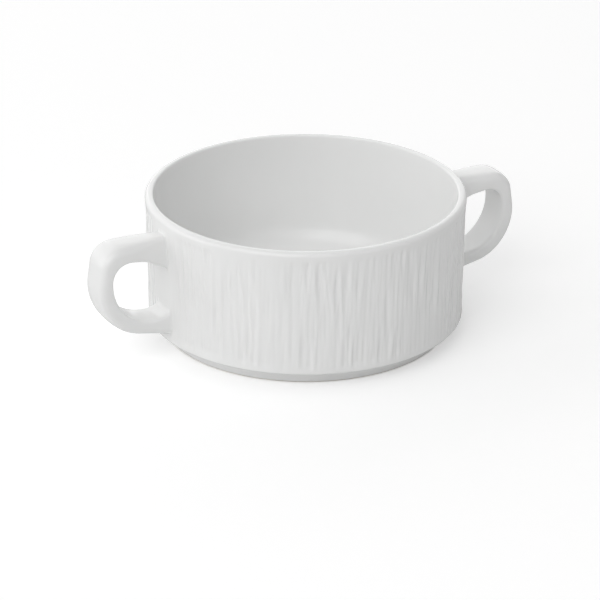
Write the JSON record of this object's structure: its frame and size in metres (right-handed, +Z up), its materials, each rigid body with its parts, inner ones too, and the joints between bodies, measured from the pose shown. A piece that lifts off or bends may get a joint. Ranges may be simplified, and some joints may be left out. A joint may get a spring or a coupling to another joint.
{
  "type": "bouillon cup",
  "caption": "Low straight-sided bouillon cup in glazed white porcelain with two ear handles, a set-back foot ring and an upright carved relief on its outer wall.",
  "frame": {"origin": "centre of the foot ring's standing plane, on the cup's own axis", "axes": "+Z up along the cup's axis, +X through one ear handle and -X through the other"},
  "size_m": [0.1556, 0.106, 0.0475],
  "materials": {
    "porcelain": "smooth white gloss glaze, bare on the foot ring's standing face"
  },
  "bodies": {
    "root": {"bouillon_cup": "porcelain"}
  },
  "joints": []
}
